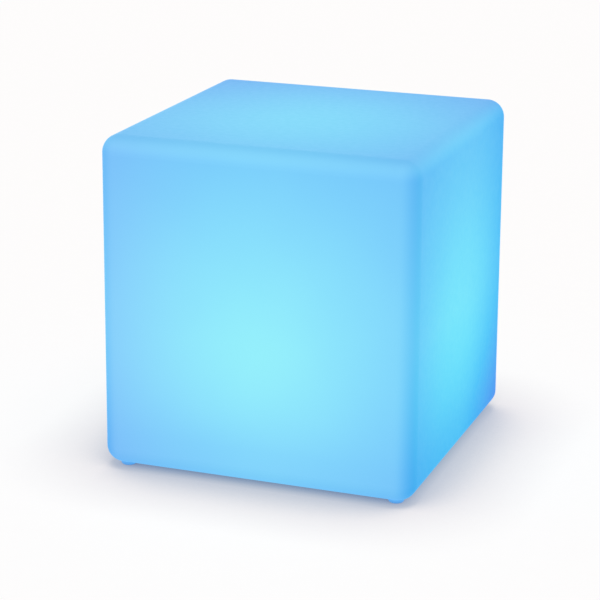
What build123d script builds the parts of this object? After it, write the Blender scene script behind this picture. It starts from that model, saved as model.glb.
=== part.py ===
from build123d import *
import math
import os

# All sizes are in millimetres. The lamp stands on z = 0, with its front face towards -Y.

# Overall form of the cube
cube_width = 401.4
total_height = 420.0
foot_height = 5.0
side_draft = 0.2
shell_wall = 4.0
upright_round = 24.0
top_round = 22.0
base_round = 21.0

# General clearances
press_gap = 0.05
loose_gap = 0.3
rest_gap = 0.1
strap_headroom = 1.1

# Push-in feet
foot_inset = 26.0
foot_radius = 9.6
foot_round = 2.8
foot_pad_margin = 0.5
stem_radius = 4.0
barb_radius = 5.4
barb_length = 5.0

# Round recess under the base, with the hole that takes the light module
recess_margin = 3.6
recess_depth = 14.5
recess_skirt = 15.0
recess_round = 3.0

# Threaded neck ring, screwed to the roof of the recess
neck_bore = 62.0
neck_tube_wall = 5.0
neck_flange_band = 19.0
neck_flange_thick = 3.5
neck_gasket_thick = 1.0
neck_gasket_band = 15.0
neck_gasket_inset = 1.0
neck_screw_count = 6
neck_screw_offset = 11.0
neck_screw_radius = 1.55
neck_screw_head = 3.4
neck_screw_head_depth = 2.0
neck_screw_reach = 8.5
neck_boss_radius = 5.0
neck_boss_rise = 7.5

# Seal between the light module and the neck ring
seal_offset = 3.0
seal_band = 6.0
seal_thick = 2.6
seal_stand = 1.0

# Housing of the light module
thread_gap = 0.8
housing_wall = 3.2
housing_floor = 3.0
flange_thick = 5.0

# Two finger pockets that the module is turned by
pocket_margin = 10.0
pocket_inset = 21.0
pocket_depth = 10.5
pocket_wall = 2.2
pocket_roof_thick = 2.0
pocket_round = 4.0

# Lid, light board and diffuser
lid_gasket_thick = 1.0
lid_thick = 2.5
lid_post_margin = 5.5
lid_post_radius = 4.0
lid_screw_count = 4
lid_screw_radius = 1.5
lid_screw_head = 3.0
lid_screw_reach = 9.0
board_margin = 4.0
board_thick = 1.6
board_screw_count = 3
board_screw_share = 0.78
board_screw_radius = 1.2
led_size = 5.0
led_height = 1.5
led_window = 2.0
outer_led_count = 12
outer_led_margin = 8.0
inner_led_count = 6
inner_led_share = 0.53
diffuser_margin = 4.5
diffuser_rise = 17.0
diffuser_wall = 2.0
receiver_width = 6.0
receiver_depth = 5.0
receiver_height = 7.0
lead_hole_radius = 3.2
lead_hole_margin = 1.0

# Battery pack
cell_radius = 9.2
cell_length = 65.0
cell_space = 0.6
cell_count = 3
cradle_floor = 1.6
cradle_side = 6.5
cradle_end = 1.5
cell_gap = 0.2
tab_thick = 0.3
tab_height = 6.4
tab_overhang = 4.0
strap_width = 14.0
strap_thick = 1.2

# Power button, its spring and its switch
button_radius = 6.7
button_flange_radius = 8.4
button_flange_thick = 1.0
button_stand = 0.9
button_travel = 1.8
bezel_wall = 2.0
bezel_lip = 2.0
bezel_lip_thick = 1.0
bezel_rise = 4.0
spring_length = 5.0
spring_radius = 6.1
spring_wire = 0.35
spring_turns = 3.0
switch_board_length = 32.0
switch_board_width = 15.0
switch_board_thick = 1.2
switch_post_place = 13.0
switch_body = 6.0
switch_plunger = 1.75
small_post_radius = 2.4
small_screw_radius = 1.0
small_screw_head = 1.9
small_screw_head_thick = 1.2
small_screw_reach = 3.0

# Charging socket and its hinged cover
socket_place = 42.5
socket_pad_width = 24.0
socket_pad_thick = 5.0
socket_body_radius = 5.8
socket_body_height = 11.0
socket_thread_radius = 3.9
socket_bore_radius = 2.8
socket_bore_depth = 9.5
socket_pin_radius = 1.0
nut_across_flats = 11.0
nut_thick = 2.0
nut_pocket_radius = 7.0
nut_pocket_depth = 2.6
cover_width = 16.0
cover_length = 20.0
cover_thick = 2.4
cover_knuckle_radius = 1.7
cover_pin_radius = 1.0
cover_pin_overhang = 2.6
cover_pin_height = 1.8
cover_swing_gap = 2.6
cover_plug_radius = 6.5
cover_plug_thick = 0.7
cover_nub_radius = 2.4
cover_nub_length = 0.9
pry_notch_width = 7.0
pry_notch_length = 2.2
pry_notch_depth = 1.6

# Charge light and control board
lens_place = 21.0
lens_radius = 2.4
lens_flange_radius = 3.6
control_width = 30.0
control_length = 36.0
control_near_edge = 14.0
control_stand = 2.0
control_post_inset = 3.0
chip_size = 9.0
chip_height = 1.6
coil_radius = 4.5
coil_height = 4.2
capacitor_radius = 3.2
capacitor_height = 9.0
plug_width = 8.0
plug_depth = 4.5
plug_height = 6.0
wire_radius = 0.8
lead_slack = 0.8
lead_spread = 6.0
lead_shift = 4.0
terminal_spread = 3.0

# Widths that follow from the neck, from the middle outwards and back
neck_outer = neck_bore + neck_tube_wall
neck_flange_radius = neck_outer + neck_flange_band
neck_screw_circle = neck_outer + neck_screw_offset
recess_radius = neck_flange_radius + recess_margin
flange_radius = neck_flange_radius
seal_inner = neck_bore + seal_offset
housing_radius = neck_bore - thread_gap
housing_bore = housing_radius - housing_wall
pocket_radius = housing_bore - pocket_margin
lid_post_circle = housing_bore - lid_post_margin
diffuser_radius = lid_post_circle - diffuser_margin
board_radius = diffuser_radius - board_margin
outer_led_circle = board_radius - outer_led_margin
inner_led_circle = outer_led_circle * inner_led_share
board_screw_circle = outer_led_circle * board_screw_share
lead_hole_place = board_radius - lead_hole_margin
channel_place = pocket_inset - pocket_wall - wire_radius - 2 * loose_gap
cell_pitch = 2 * cell_radius + cell_space
foot_place = cube_width / 2 - foot_inset

# Levels that follow, from the base of the shell up to the lights
shell_low = foot_height
recess_roof = shell_low + recess_depth
neck_flange_top = recess_roof - neck_gasket_thick
neck_low = neck_flange_top - neck_flange_thick
flange_top = neck_low - seal_stand
module_low = flange_top - flange_thick
floor_top = module_low + housing_floor
pocket_roof = module_low + pocket_depth + pocket_roof_thick
cell_axis = pocket_roof + cradle_floor + cell_radius + cell_gap
strap_top = cell_axis + cell_radius + rest_gap + strap_thick
lid_low = strap_top + strap_headroom
housing_top = lid_low - lid_gasket_thick
neck_top = lid_low + lid_thick
lid_top = lid_low + lid_thick
board_top = lid_top + board_thick


# A round bar that stands on one level and ends at another
def disc(radius, low, high, x=0.0, y=0.0):
    bar = Cylinder(radius, high - low, align=(Align.CENTER, Align.CENTER, Align.MIN))
    return Pos(x, y, low) * bar


# A square-cornered block between two levels
def block(width, depth, low, high, x=0.0, y=0.0):
    shape = Box(width, depth, high - low, align=(Align.CENTER, Align.CENTER, Align.MIN))
    return Pos(x, y, low) * shape


# A washer-shaped piece between two levels
def ring(outer, inner, low, high, x=0.0, y=0.0):
    return disc(outer, low, high, x, y) - disc(inner, low, high, x, y)


# A bar that tapers from one radius to another as it rises
def cone(low_radius, high_radius, low, high, x=0.0, y=0.0):
    shape = Cone(low_radius, high_radius, high - low, align=(Align.CENTER, Align.CENTER, Align.MIN))
    return Pos(x, y, low) * shape


# The corner of an outline nearest to a point is rounded
def soften(face, corner, radius):
    def distance(vertex):
        return math.hypot(vertex.X - corner[0], vertex.Y - corner[1])

    return fillet(min(face.vertices(), key=distance), radius)


# A closed outline of (radius, height) points, ready to have its corners rounded
def outline(*points):
    return make_face(Polyline(*points, close=True))


# An outline is turned round the upright axis
def turned(face):
    return revolve(Plane.XZ * face, Axis.Z)


# Places round a circle, as (x, y) pairs
def round_places(radius, count, start=0.0):
    places = []
    for index in range(count):
        angle = math.radians(start + 360.0 * index / count)
        places.append((radius * math.cos(angle), radius * math.sin(angle)))
    return places


# Several pieces are added to a shape, or taken from it
def with_all(shape, pieces):
    for piece in pieces:
        shape = shape + piece
    return shape


def without_all(shape, pieces):
    for piece in pieces:
        shape = shape - piece
    return shape


def keep(name, shape):
    export_step(shape, "parts/" + name + ".step")


# Alike separate pieces share one file
def keep_group(name, pieces):
    solids = []
    for piece in pieces:
        solids.extend(piece.solids())
    keep(name, Compound(solids))


# A tapering cube with every edge rounded
def cube_form(width, low, high, upright, top, base):
    section = Pos(0, 0, low) * RectangleRounded(width, width, upright)
    form = extrude(section, high - low, taper=side_draft)
    form = fillet(form.edges().group_by(Axis.Z)[-1], top)
    return fillet(form.edges().group_by(Axis.Z)[0], base)


# The moulded skin steps up into the recess and ends at the edge of the neck hole
def recess_skin():
    skirt = recess_radius + recess_skirt
    hole = neck_outer + loose_gap
    face = outline(
        (skirt, shell_low),
        (recess_radius, shell_low),
        (recess_radius, recess_roof),
        (hole, recess_roof),
        (hole, recess_roof + shell_wall),
        (recess_radius + shell_wall, recess_roof + shell_wall),
        (recess_radius + shell_wall, shell_low + shell_wall),
        (skirt, shell_low + shell_wall),
    )
    face = soften(face, (recess_radius, shell_low), recess_round)
    face = soften(face, (recess_radius, recess_roof), recess_round)
    face = soften(face, (recess_radius + shell_wall, recess_roof + shell_wall), recess_round + shell_wall)
    face = soften(face, (recess_radius + shell_wall, shell_low + shell_wall), recess_round)
    return turned(face)


def foot_places():
    return {
        "foot_front_left": (-foot_place, -foot_place),
        "foot_front_right": (foot_place, -foot_place),
        "foot_back_left": (-foot_place, foot_place),
        "foot_back_right": (foot_place, foot_place),
    }


# Hollow rotationally moulded cube with its recess, screw bosses and foot holes
def make_shell():
    outer = cube_form(cube_width, shell_low, total_height, upright_round, top_round, base_round)
    hollow = cube_form(
        cube_width - 2 * shell_wall,
        shell_low + shell_wall,
        total_height - shell_wall,
        upright_round - shell_wall,
        top_round - shell_wall,
        base_round - shell_wall,
    )
    shell = outer - hollow
    shell = shell - disc(recess_radius + shell_wall + recess_round, shell_low, shell_low + shell_wall)
    shell = shell + recess_skin()
    skin_top = recess_roof + shell_wall
    screw_places = round_places(neck_screw_circle, neck_screw_count)
    bosses = [disc(neck_boss_radius, skin_top - 1.0, skin_top + neck_boss_rise, x, y) for x, y in screw_places]
    shell = with_all(shell, bosses)

    # Low pads level the rounded base over the feet
    pad_radius = foot_radius + foot_pad_margin
    pads = [disc(pad_radius, shell_low, shell_low + shell_wall, x, y) for x, y in foot_places().values()]
    shell = with_all(shell, pads)
    pilot = neck_screw_radius + press_gap
    pilot_top = recess_roof + neck_screw_reach + 1.0
    shell = without_all(shell, [disc(pilot, recess_roof, pilot_top, x, y) for x, y in screw_places])
    stem_hole = stem_radius + press_gap
    holes = [disc(stem_hole, shell_low, shell_low + shell_wall, x, y) for x, y in foot_places().values()]
    return without_all(shell, holes)


# Round foot with a barbed stem that snaps through the base
def make_foot(x, y):
    stem_top = shell_low + shell_wall + 2 * press_gap
    face = outline(
        (0, 0),
        (foot_radius, 0),
        (foot_radius, shell_low),
        (stem_radius, shell_low),
        (stem_radius, stem_top),
        (barb_radius, stem_top),
        (stem_radius - 1.0, stem_top + barb_length),
        (0, stem_top + barb_length),
    )
    face = soften(face, (foot_radius, 0), foot_round)
    return Pos(x, y, 0) * turned(face)


# Threaded ring, with a flange that carries the countersunk screws
def make_neck_ring():
    face = outline(
        (neck_bore, neck_low),
        (neck_flange_radius, neck_low),
        (neck_flange_radius, neck_flange_top),
        (neck_outer, neck_flange_top),
        (neck_outer, neck_top),
        (neck_bore, neck_top),
    )
    face = soften(face, (neck_flange_radius, neck_low), 1.0)
    face = soften(face, (neck_bore, neck_low), 1.0)
    face = soften(face, (neck_bore, neck_top), 1.5)
    body = turned(face)
    head = neck_screw_head + press_gap
    shank = neck_screw_radius + loose_gap
    for x, y in round_places(neck_screw_circle, neck_screw_count):
        body = body - disc(shank, neck_low, neck_flange_top, x, y)
        body = body - cone(head, shank, neck_low, neck_low + neck_screw_head_depth, x, y)
    return body


def make_neck_gasket():
    outer = neck_flange_radius - neck_gasket_inset
    body = ring(outer, outer - neck_gasket_band, neck_flange_top, recess_roof)
    places = round_places(neck_screw_circle, neck_screw_count)
    return without_all(body, [disc(neck_screw_radius + loose_gap, neck_flange_top, recess_roof, x, y) for x, y in places])


def make_neck_screw(x, y):
    head = cone(neck_screw_head, neck_screw_radius, neck_low, neck_low + neck_screw_head_depth, x, y)
    return head + disc(neck_screw_radius, neck_low, recess_roof + neck_screw_reach, x, y)


# Flat rubber ring that lies in a groove of the module's flange
def make_seal():
    outer = seal_inner + seal_band
    seal_low = neck_low - seal_thick
    face = outline((seal_inner, seal_low), (outer, seal_low), (outer, neck_low), (seal_inner, neck_low))
    face = soften(face, (outer, neck_low), 0.6)
    face = soften(face, (seal_inner, neck_low), 0.6)
    return turned(face)


# Half-moon block beside the middle band, on the +X side
def half_moon(radius, inset, low, high, corner, crown):
    cut = block(radius, 3 * radius, low, high, inset + radius / 2)
    shape = disc(radius, low, high) & cut
    shape = fillet(shape.edges().filter_by(Axis.Z), corner)
    return fillet(shape.edges().group_by(Axis.Z)[-1], crown)


def both_sides(shape):
    return [shape, mirror(shape, Plane.YZ)]


def lid_post_places():
    return round_places(lid_post_circle, lid_screw_count, 45.0)


def control_post_places():
    across = control_width / 2 - control_post_inset
    near = control_near_edge + control_post_inset
    far = control_near_edge + control_length - control_post_inset
    return [(across, -near), (-across, -near), (across, -far), (-across, -far)]


def switch_post_places():
    return [(switch_post_place, 0.0), (-switch_post_place, 0.0)]


# Levels of the button group, counted up from the face of the module
bezel_top = module_low + bezel_rise
button_top = bezel_top + button_flange_thick
switch_board_low = button_top + spring_length
control_low = floor_top + control_stand
control_top = control_low + board_thick

# Places and levels of the charging socket
pad_top = floor_top + socket_pad_thick
cover_top = module_low + cover_thick
cover_pin_y = socket_place + cover_length / 2
cover_free_y = socket_place - cover_length / 2
cover_pin_z = module_low + cover_pin_height
nut_roof = cover_top + loose_gap + nut_pocket_depth
socket_mouth = nut_roof - nut_thick


# Cup of the light module, with its flange and turning pockets
def make_housing():
    face = outline(
        (0, module_low),
        (flange_radius, module_low),
        (flange_radius, flange_top),
        (housing_radius, flange_top),
        (housing_radius, housing_top),
        (housing_bore, housing_top),
        (housing_bore, floor_top),
        (0, floor_top),
    )
    face = soften(face, (flange_radius, module_low), 2.0)
    face = soften(face, (flange_radius, flange_top), 1.0)
    face = soften(face, (housing_bore, floor_top), 1.5)
    body = turned(face)
    groove_outer = seal_inner + seal_band + loose_gap
    body = body - ring(groove_outer, seal_inner - loose_gap, neck_low - seal_thick, flange_top)

    # Pocket walls rise inside the cup, and the posts stand on its floor
    outer_moon = half_moon(
        pocket_radius + pocket_wall,
        pocket_inset - pocket_wall,
        module_low + 1.0,
        pocket_roof,
        pocket_round + pocket_wall,
        pocket_wall + 1.0,
    )
    body = with_all(body, both_sides(outer_moon))
    posts = [disc(lid_post_radius, floor_top - 1.0, lid_low, x, y) for x, y in lid_post_places()]
    posts += [disc(small_post_radius, floor_top - 1.0, control_low, x, y) for x, y in control_post_places()]
    posts += [disc(small_post_radius, floor_top - 1.0, switch_board_low, x, y) for x, y in switch_post_places()]
    pad_length = cover_pin_y + cover_swing_gap + 2.0 - (cover_free_y - 2.0)
    pad_middle = (cover_pin_y + cover_swing_gap + cover_free_y) / 2
    posts.append(block(socket_pad_width, pad_length, floor_top - 1.0, pad_top, 0, pad_middle))
    body = with_all(body, posts)

    # Pockets, screw holes, button hole and lens hole
    inner_moon = half_moon(
        pocket_radius, pocket_inset, module_low, module_low + pocket_depth, pocket_round, pocket_round - 1.0
    )
    body = without_all(body, both_sides(inner_moon))
    lid_pilot = lid_screw_radius + press_gap
    small_pilot = small_screw_radius + press_gap
    lid_hole_low = lid_low - lid_screw_reach
    holes = [disc(lid_pilot, lid_hole_low, lid_low, x, y) for x, y in lid_post_places()]
    holes += [disc(small_pilot, floor_top - 1.2, control_low, x, y) for x, y in control_post_places()]
    switch_hole_low = switch_board_low - small_screw_reach
    holes += [disc(small_pilot, switch_hole_low, switch_board_low, x, y) for x, y in switch_post_places()]
    bezel_outer = button_radius + loose_gap + bezel_wall
    holes.append(disc(bezel_outer + press_gap, module_low, floor_top))
    lip_hole = bezel_outer + bezel_lip + loose_gap
    holes.append(disc(lip_hole, module_low, module_low + bezel_lip_thick))
    holes.append(disc(lens_radius + press_gap, module_low, floor_top, 0, -lens_place))
    body = without_all(body, holes)

    # Recess of the charging cover, with room for its knuckle, pin and nut
    gap_width = cover_width + 2 * loose_gap
    recess_end = cover_pin_y + cover_swing_gap
    recess_start = cover_free_y - loose_gap
    recess_middle = (recess_end + recess_start) / 2
    recess_length = recess_end - recess_start
    body = body - block(gap_width, recess_length, module_low, cover_top + loose_gap, 0, recess_middle)
    body = body - lying_bar(cover_knuckle_radius + loose_gap, gap_width)
    body = body - lying_bar(cover_pin_radius + press_gap, cover_width + 2 * cover_pin_overhang)
    body = body - disc(nut_pocket_radius, module_low, nut_roof, 0, socket_place)
    body = body - disc(socket_thread_radius + press_gap, module_low, pad_top, 0, socket_place)
    notch_y = recess_start - pry_notch_length / 2
    return body - block(pry_notch_width, pry_notch_length, module_low, module_low + pry_notch_depth, 0, notch_y)


# A bar that lies along the axis of the cover's hinge
def lying_bar(radius, length):
    return Pos(0, cover_pin_y, cover_pin_z) * Rot(0, 90, 0) * Cylinder(radius, length)


# Plate with a knuckle at one end and a stepped plug over the socket
def make_cover():
    length = cover_pin_y - cover_free_y
    plate = block(cover_width, length, module_low, cover_top, 0, cover_free_y + length / 2)
    free_end = plate.edges().filter_by(Axis.Z).group_by(Axis.Y)[0]
    plate = fillet(free_end, 3.0)
    body = plate + lying_bar(cover_knuckle_radius, cover_width)
    plug_top = cover_top + cover_plug_thick
    body = body + disc(cover_plug_radius, cover_top, plug_top, 0, socket_place)
    nub = cone(cover_nub_radius, cover_nub_radius - 0.5, plug_top, plug_top + cover_nub_length, 0, socket_place)
    body = body + nub
    return body - lying_bar(cover_pin_radius + press_gap, cover_width)


def make_socket_nut():
    nut = extrude(RegularPolygon(nut_across_flats / 2, 6, major_radius=False), nut_thick)
    nut = Pos(0, socket_place, nut_roof - nut_thick) * nut
    return nut - disc(socket_thread_radius + press_gap, socket_mouth, nut_roof, 0, socket_place)


# Panel socket: threaded neck below, round body above, and a stepped bore
def make_socket():
    body = disc(socket_thread_radius, socket_mouth, pad_top, 0, socket_place)
    top = disc(socket_body_radius, pad_top, pad_top + socket_body_height, 0, socket_place)
    top = fillet(top.edges().group_by(Axis.Z)[-1], 1.0)
    body = body + top
    bore_top = socket_mouth + socket_bore_depth
    body = body - disc(socket_bore_radius, socket_mouth, bore_top, 0, socket_place)
    return body - disc(socket_pin_radius + press_gap, bore_top, bore_top + 4.0, 0, socket_place)


def make_socket_pin():
    pin_low = socket_mouth + 1.6
    pin_top = socket_mouth + socket_bore_depth + 3.0
    pin = disc(socket_pin_radius, pin_low, pin_top, 0, socket_place)
    return fillet(pin.edges().group_by(Axis.Z)[0], 0.5)


# Flush collar round the button
def make_bezel():
    bore = button_radius + loose_gap
    outer = bore + bezel_wall
    body = disc(outer, module_low, bezel_top)
    body = body + disc(outer + bezel_lip, module_low, module_low + bezel_lip_thick)
    body = body - disc(bore, module_low, bezel_top)
    return chamfer(body.edges().group_by(Axis.Z)[0].sort_by(SortBy.LENGTH)[0], 0.6)


# Button with a dished face and an inner flange that stops it falling out
def make_button():
    low = module_low - button_stand
    face = outline(
        (0, low),
        (button_radius, low),
        (button_radius, bezel_top),
        (button_flange_radius, bezel_top),
        (button_flange_radius, button_top),
        (0, button_top),
    )
    face = soften(face, (button_radius, low), 0.8)
    dish = Pos(0, 0, low - 15.2) * Sphere(16.0)
    return turned(face) - dish


# Coil spring between the button and the switch board
def make_spring():
    pitch = (spring_length - 2 * spring_wire) / spring_turns
    path = Helix(pitch, spring_length - 2 * spring_wire, spring_radius)
    start = Plane(origin=path @ 0, z_dir=path % 0)
    coil = sweep(start * Circle(spring_wire), path)
    return Pos(0, 0, button_top + spring_wire) * coil


def make_switch_board():
    high = switch_board_low + switch_board_thick
    board = block(switch_board_length, switch_board_width, switch_board_low, high)
    board = fillet(board.edges().filter_by(Axis.Z), 2.0)
    hole = small_screw_radius + press_gap
    return without_all(board, [disc(hole, switch_board_low, high, x, y) for x, y in switch_post_places()])


# Small press switch that hangs under its board
def make_switch():
    plunger_low = button_top + button_travel + press_gap
    body_low = plunger_low + 0.8
    body = block(switch_body, switch_body, body_low, switch_board_low)
    body = chamfer(body.edges().group_by(Axis.Z)[0], 0.4)
    return body + disc(switch_plunger, plunger_low, body_low)


# Small screw with its head on a given level
def small_screw(x, y, level):
    shank = disc(small_screw_radius, level - small_screw_reach, level, x, y)
    head = disc(small_screw_head, level, level + small_screw_head_thick, x, y)
    head = fillet(head.edges().group_by(Axis.Z)[-1], 0.5)
    return shank + head


def make_lens():
    body = disc(lens_radius, module_low, floor_top + 1.4, 0, -lens_place)
    body = body + disc(lens_flange_radius, floor_top, floor_top + 1.0, 0, -lens_place)
    return fillet(body.edges().group_by(Axis.Z)[0], 0.8)


def make_control_board():
    middle = -control_near_edge - control_length / 2
    board = block(control_width, control_length, control_low, control_top, 0, middle)
    board = fillet(board.edges().filter_by(Axis.Z), 2.0)
    hole = small_screw_radius + press_gap
    return without_all(board, [disc(hole, control_low, control_top, x, y) for x, y in control_post_places()])


# Chip, choke, capacitor and lead socket that stand on the control board
def control_parts():
    chip = block(chip_size, chip_size, control_top, control_top + chip_height, 6.0, -control_near_edge - 14.0)
    chip = chamfer(chip.edges().group_by(Axis.Z)[-1], 0.4)
    coil_x = -8.0
    coil_y = -control_near_edge - 11.0
    coil = disc(coil_radius, control_top, control_top + coil_height, coil_x, coil_y)
    coil = coil - ring(coil_radius, coil_radius - 0.8, control_top + 1.0, control_top + coil_height - 1.0, coil_x, coil_y)
    can_x = 9.0
    can_y = -control_near_edge - 25.0
    can = disc(capacitor_radius, control_top, control_top + capacitor_height, can_x, can_y)
    can = fillet(can.edges().group_by(Axis.Z)[-1], 0.7)
    plug_y = -control_near_edge - control_length + plug_depth
    plug = block(plug_width, plug_depth, control_top, control_top + plug_height, 0, plug_y)
    return [chip, coil, can, plug]


def cell_places():
    half = (cell_count - 1) / 2
    return [(index - half) * cell_pitch for index in range(cell_count)]


cradle_half_width = cell_places()[-1] + cell_radius + 2.3
cradle_half_length = cell_length / 2 + 1.5 + cradle_end


# A bar that lies along Y at the height of the cells
def cell_bar(radius, length, x, y=0.0):
    return Pos(x, y, cell_axis) * Rot(90, 0, 0) * Cylinder(radius, length)


# Cell with its raised contact at the front end
def make_cell(x):
    can = cell_bar(cell_radius, cell_length, x)
    can = fillet(can.edges().filter_by(GeomType.CIRCLE), 0.8)
    contact = cell_bar(3.0, 0.5, x, -cell_length / 2 - 0.25)
    return can + contact


# Tray whose troughs follow the cells
def make_cradle():
    high = pocket_roof + cradle_side
    body = block(2 * cradle_half_width, 2 * cradle_half_length, pocket_roof, high)
    body = fillet(body.edges().filter_by(Axis.Z), 2.0)
    body = body & disc(lid_post_circle - lid_post_radius - loose_gap, pocket_roof, high)
    trough_length = 2 * (cradle_half_length - cradle_end)
    return without_all(body, [cell_bar(cell_radius + cell_gap, trough_length, x) for x in cell_places()])


# Welded strips that join neighbouring cells at alternate ends
def make_tabs():
    tabs = []
    places = cell_places()
    low = cell_axis - tab_height / 2
    for index in range(cell_count - 1):
        front = index % 2 == 0
        end = -cell_length / 2 - 0.5 - tab_thick / 2 if front else cell_length / 2 + tab_thick / 2
        middle = (places[index] + places[index + 1]) / 2
        tabs.append(block(cell_pitch + 2 * tab_overhang, tab_thick, low, low + tab_height, middle, end))
    return tabs


# Band over the cells, with legs outside the cradle
def make_strap():
    inner_top = cell_axis + cell_radius + rest_gap
    low = pocket_roof + 0.5
    outer_width = 2 * (cradle_half_width + strap_thick)
    outer = block(outer_width, strap_width, low, inner_top + strap_thick)
    outer = fillet(outer.edges().filter_by(Axis.Y).group_by(Axis.Z)[-1], 3.0)
    inner = block(2 * cradle_half_width, strap_width, low, inner_top)
    inner = fillet(inner.edges().filter_by(Axis.Y).group_by(Axis.Z)[-1], 1.8)
    return outer - inner


# A round wire is swept along a smooth line through its points
def wire(first_way, last_way, *points, pull=1.0):
    path = Spline(*points, tangents=(first_way, last_way), tangent_scalars=(pull, pull))
    start = Plane(origin=path @ 0, z_dir=path % 0)
    return sweep(start * Circle(wire_radius), path)


# Two leads go from the battery's front end down to the control board
def battery_leads():
    leads = []
    front = -cell_length / 2 - 0.5 - tab_thick - wire_radius
    clear = -cradle_half_length - wire_radius - lead_slack
    for side in (-1.0, 1.0):
        x = side * lead_spread - lead_shift
        leads.append(
            wire(
                (0, -1, -1),
                (0, 0, -1),
                (x, front, cell_axis),
                (x, clear, pocket_roof + cradle_side),
                (x - 0.5, clear - 1.0, control_top),
            )
        )
    return leads


# One lead goes up through the lid to the light board
def light_lead():
    plug_y = -control_near_edge - control_length + plug_depth
    return wire(
        (0, 0, 1),
        (0, 0, -1),
        (0, plug_y, control_top + plug_height),
        (0, -lead_hole_place, lid_low - 3.0),
        (0, -lead_hole_place, lid_top + 0.6),
        (0, -lead_hole_place + 2.8, board_top + 1.5),
        (0, -lead_hole_place + 5.4, board_top),
    )


# Two leads go from the charging socket, past the switch, to the control board
def socket_leads():
    leads = []
    socket_top = pad_top + socket_body_height
    resting = control_top + wire_radius
    for side in (-1.0, 1.0):
        x = side * channel_place
        leads.append(
            wire(
                (0, 0, 1),
                (-0.35 * side, -1, 0),
                (side * terminal_spread, socket_place, socket_top),
                (side * 7.4, socket_place + 1.9, socket_top + 2.9),
                (side * 12.0, socket_place + 2.1, socket_top + 1.2),
                (x - side * 1.4, socket_place - 0.3, socket_top - 4.0),
                (x, socket_place - 4.5, pad_top + 1.8),
                (x, socket_place - 10.5, floor_top + 3.6),
                (x, socket_place - 20.5, floor_top + 2.2),
                (x, 8.0, floor_top + 1.9),
                (x, 8.0 - control_near_edge, floor_top + 2.2),
                (x - side * 0.6, -control_near_edge, floor_top + 3.4),
                (x - side * 2.0, -control_near_edge - 5.5, resting + 0.1),
                (x - side * 3.6, -control_near_edge - 9.0, resting),
                pull=0.4,
            )
        )
    return leads


# Two short leads go from the switch board down to the control board
def switch_leads():
    leads = []
    for side in (-1.0, 1.0):
        x = side * (switch_body / 2 + 2.4)
        leads.append(
            wire(
                (0, 0, -1),
                (0, 0, -1),
                (x, -switch_board_width / 2 + wire_radius + 0.3, switch_board_low),
                (x, -control_near_edge + 2.6, control_top + 2.0),
                (x, -control_near_edge - 2.2, control_top + 1.6),
                (x, -control_near_edge - 3.4, control_top),
            )
        )
    return leads


def make_lid():
    body = disc(housing_radius - press_gap, lid_low, lid_top)
    body = chamfer(body.edges().group_by(Axis.Z)[-1], 0.5)
    hole = lid_screw_radius + loose_gap
    holes = [disc(hole, lid_low, lid_top, x, y) for x, y in lid_post_places()]
    pilot = board_screw_radius + press_gap
    holes += [disc(pilot, lid_low, lid_top, x, y) for x, y in board_screw_places()]
    holes.append(disc(lead_hole_radius, lid_low, lid_top, 0, -lead_hole_place))
    return without_all(body, holes)


def board_screw_places():
    return round_places(board_screw_circle, board_screw_count, 90.0)


# Round board with a notch for the lead
def make_light_board():
    body = disc(board_radius, lid_top, board_top)
    hole = board_screw_radius + press_gap
    holes = [disc(hole, lid_top, board_top, x, y) for x, y in board_screw_places()]
    holes.append(disc(lead_hole_radius + 0.6, lid_top, board_top, 0, -lead_hole_place))
    return without_all(body, holes)


def board_screw(x, y):
    shank = disc(board_screw_radius, lid_low, board_top, x, y)
    head = disc(2 * board_screw_radius, board_top, board_top + 1.2, x, y)
    head = fillet(head.edges().group_by(Axis.Z)[-1], 0.6)
    return shank + head


# Square light with a shallow round window
def make_led(x, y):
    body = block(led_size, led_size, board_top, board_top + led_height, x, y)
    return body - cone(led_window - 0.4, led_window, board_top + led_height - 0.6, board_top + led_height, x, y)


def make_leds():
    half_step = 180.0 / outer_led_count
    places = round_places(outer_led_circle, outer_led_count, half_step)
    places += round_places(inner_led_circle, inner_led_count, 30.0)
    return [make_led(x, y) for x, y in places]


# Remote-control receiver with a rounded lens on its face
def make_receiver():
    top = board_top + receiver_height
    body = block(receiver_width, receiver_depth, board_top, top)
    lens = disc(receiver_depth / 2 - 0.2, board_top + 1.0, top - 1.0, 0, -receiver_depth / 2)
    body = fillet(body.edges().group_by(Axis.Z)[-1], 0.6)
    return body + lens


# Domed diffuser with a flat flange for the lid screws
def make_diffuser():
    low = lid_top
    flange_high = lid_top + diffuser_wall
    rise = diffuser_rise
    curve = (diffuser_radius**2 + rise**2) / (2 * rise)
    cap = Pos(0, 0, flange_high + rise - curve) * Sphere(curve)
    inner_cap = Pos(0, 0, flange_high + rise - curve) * Sphere(curve - diffuser_wall)
    space = disc(housing_radius, low, flange_high + 2 * rise)
    flange = disc(housing_radius - press_gap, low, flange_high)
    flange = chamfer(flange.edges().group_by(Axis.Z)[-1], 0.5)
    body = flange + (cap & disc(diffuser_radius, flange_high, flange_high + 2 * rise))
    body = body - (inner_cap & disc(diffuser_radius - diffuser_wall, flange_high, flange_high + 2 * rise))
    body = body - disc(board_radius + 1.0, low, flange_high)
    hole = lid_screw_radius + loose_gap
    body = body & space
    return without_all(body, [disc(hole, low, flange_high, x, y) for x, y in lid_post_places()])


def lid_screw(x, y):
    seat = lid_top + diffuser_wall
    shank = disc(lid_screw_radius, lid_low - lid_screw_reach + 1.0, seat, x, y)
    head = disc(lid_screw_head, seat, seat + 2.0, x, y)
    head = fillet(head.edges().group_by(Axis.Z)[-1], 1.0)
    return shank + head


os.makedirs("parts", exist_ok=True)

keep("shell", make_shell())
for foot_name, (foot_x, foot_y) in foot_places().items():
    keep(foot_name, make_foot(foot_x, foot_y))

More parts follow.
